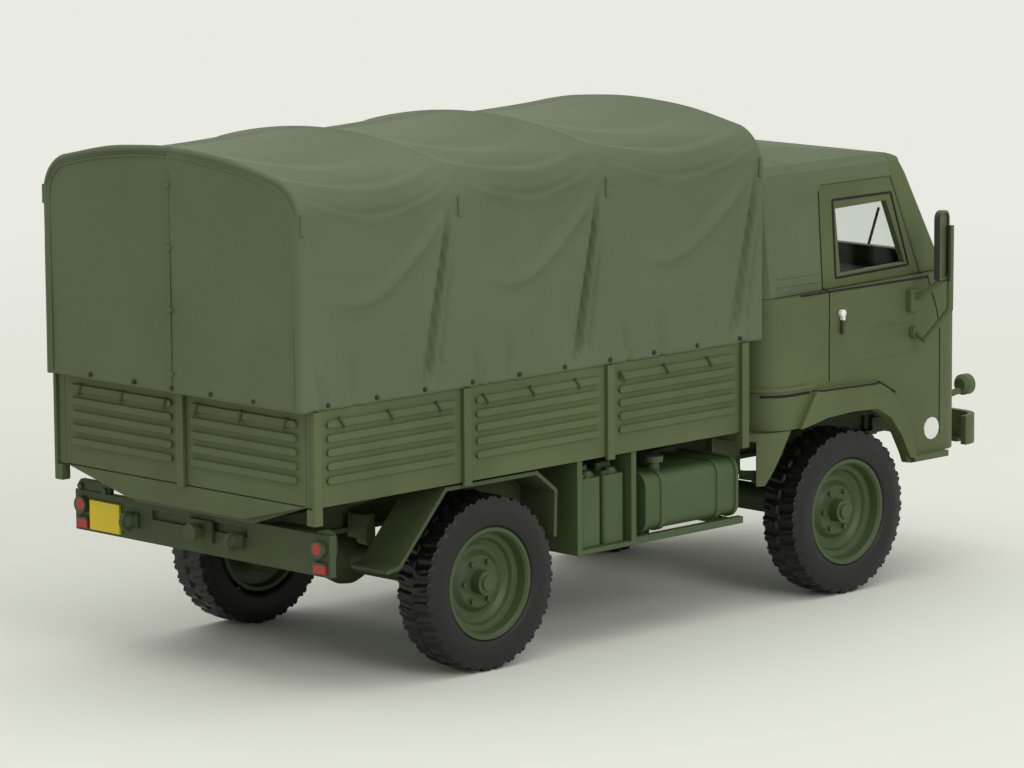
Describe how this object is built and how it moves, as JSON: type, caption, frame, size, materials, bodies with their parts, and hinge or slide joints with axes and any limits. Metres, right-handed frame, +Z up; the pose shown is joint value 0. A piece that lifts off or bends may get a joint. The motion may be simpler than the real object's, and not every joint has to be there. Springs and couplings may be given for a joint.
{
  "type": "scale model military cargo truck",
  "caption": "Scale model of a light four-wheel-drive cargo truck with forward cab, soft cab top, covered drop-side bed, and two turning axles.",
  "frame": {"origin": "on the ground under the middle of the model", "axes": "+X towards the front bumper, +Y to the left side, +Z up"},
  "size_m": [0.1304, 0.0592, 0.0674],
  "materials": {
    "body_green": "matt olive green paint",
    "tarp_green": "matt green moulded cover",
    "chassis_green": "matt olive green plastic",
    "gear_green": "matt olive green plastic",
    "rim_green": "satin green paint",
    "tyre_black": "matt black rubber",
    "axle_steel": "plain steel pin",
    "glazing": "clear moulded glazing",
    "interior_black": "matt black plastic",
    "handle_silver": "bright silver",
    "lamp_red": "gloss red lacquer",
    "plate_yellow": "blank yellow plate"
  },
  "bodies": {
    "truck": {"chassis_frame": "chassis_green", "front_axle_housing": "chassis_green", "rear_axle_housing": "chassis_green", "leaf_springs": "chassis_green", "drivetrain": "chassis_green", "exhaust": "chassis_green", "cab_body": "body_green", "cab_skirts": "body_green", "cab_top": "tarp_green", "door_frames": "body_green", "windscreen_frame": "body_green", "cab_glazing": "glazing", "cab_interior": "interior_black", "steering_wheel": "interior_black", "grille": "body_green", "headlamps": "body_green", "marker_lamps": "body_green", "front_bumper": "body_green", "mirrors": "body_green", "wipers": "interior_black", "door_handles": "handle_silver", "cargo_floor": "body_green", "side_panel_right": "body_green", "side_panel_left": "body_green", "tail_panel": "body_green", "head_panel": "body_green", "bed_posts": "body_green", "tarp": "tarp_green", "rear_mudguards": "chassis_green", "can_racks": "gear_green", "jerrycans": "gear_green", "fuel_tanks": "gear_green", "tank_rails": "gear_green", "rear_bar": "chassis_green", "tow_hooks": "chassis_green", "hitch": "chassis_green", "rear_lamps": "lamp_red", "number_plate": "plate_yellow"},
    "front_wheels": {"front_axle_pin": "axle_steel", "tyre_front_right": "tyre_black", "tyre_front_left": "tyre_black", "rim_front_right": "rim_green", "rim_front_left": "rim_green"},
    "rear_wheels": {"rear_axle_pin": "axle_steel", "tyre_rear_right": "tyre_black", "tyre_rear_left": "tyre_black", "rim_rear_right": "rim_green", "rim_rear_left": "rim_green"}
  },
  "joints": [
    {"name": "front_axle_turn", "type": "hinge", "parent": "truck", "child": "front_wheels", "pos_m": [0.0339, 0, 0.0112], "axis": [0, 1, 0], "continuous": true},
    {"name": "rear_axle_turn", "type": "hinge", "parent": "truck", "child": "rear_wheels", "pos_m": [-0.0335, 0, 0.0112], "axis": [0, 1, 0], "continuous": true}
  ]
}
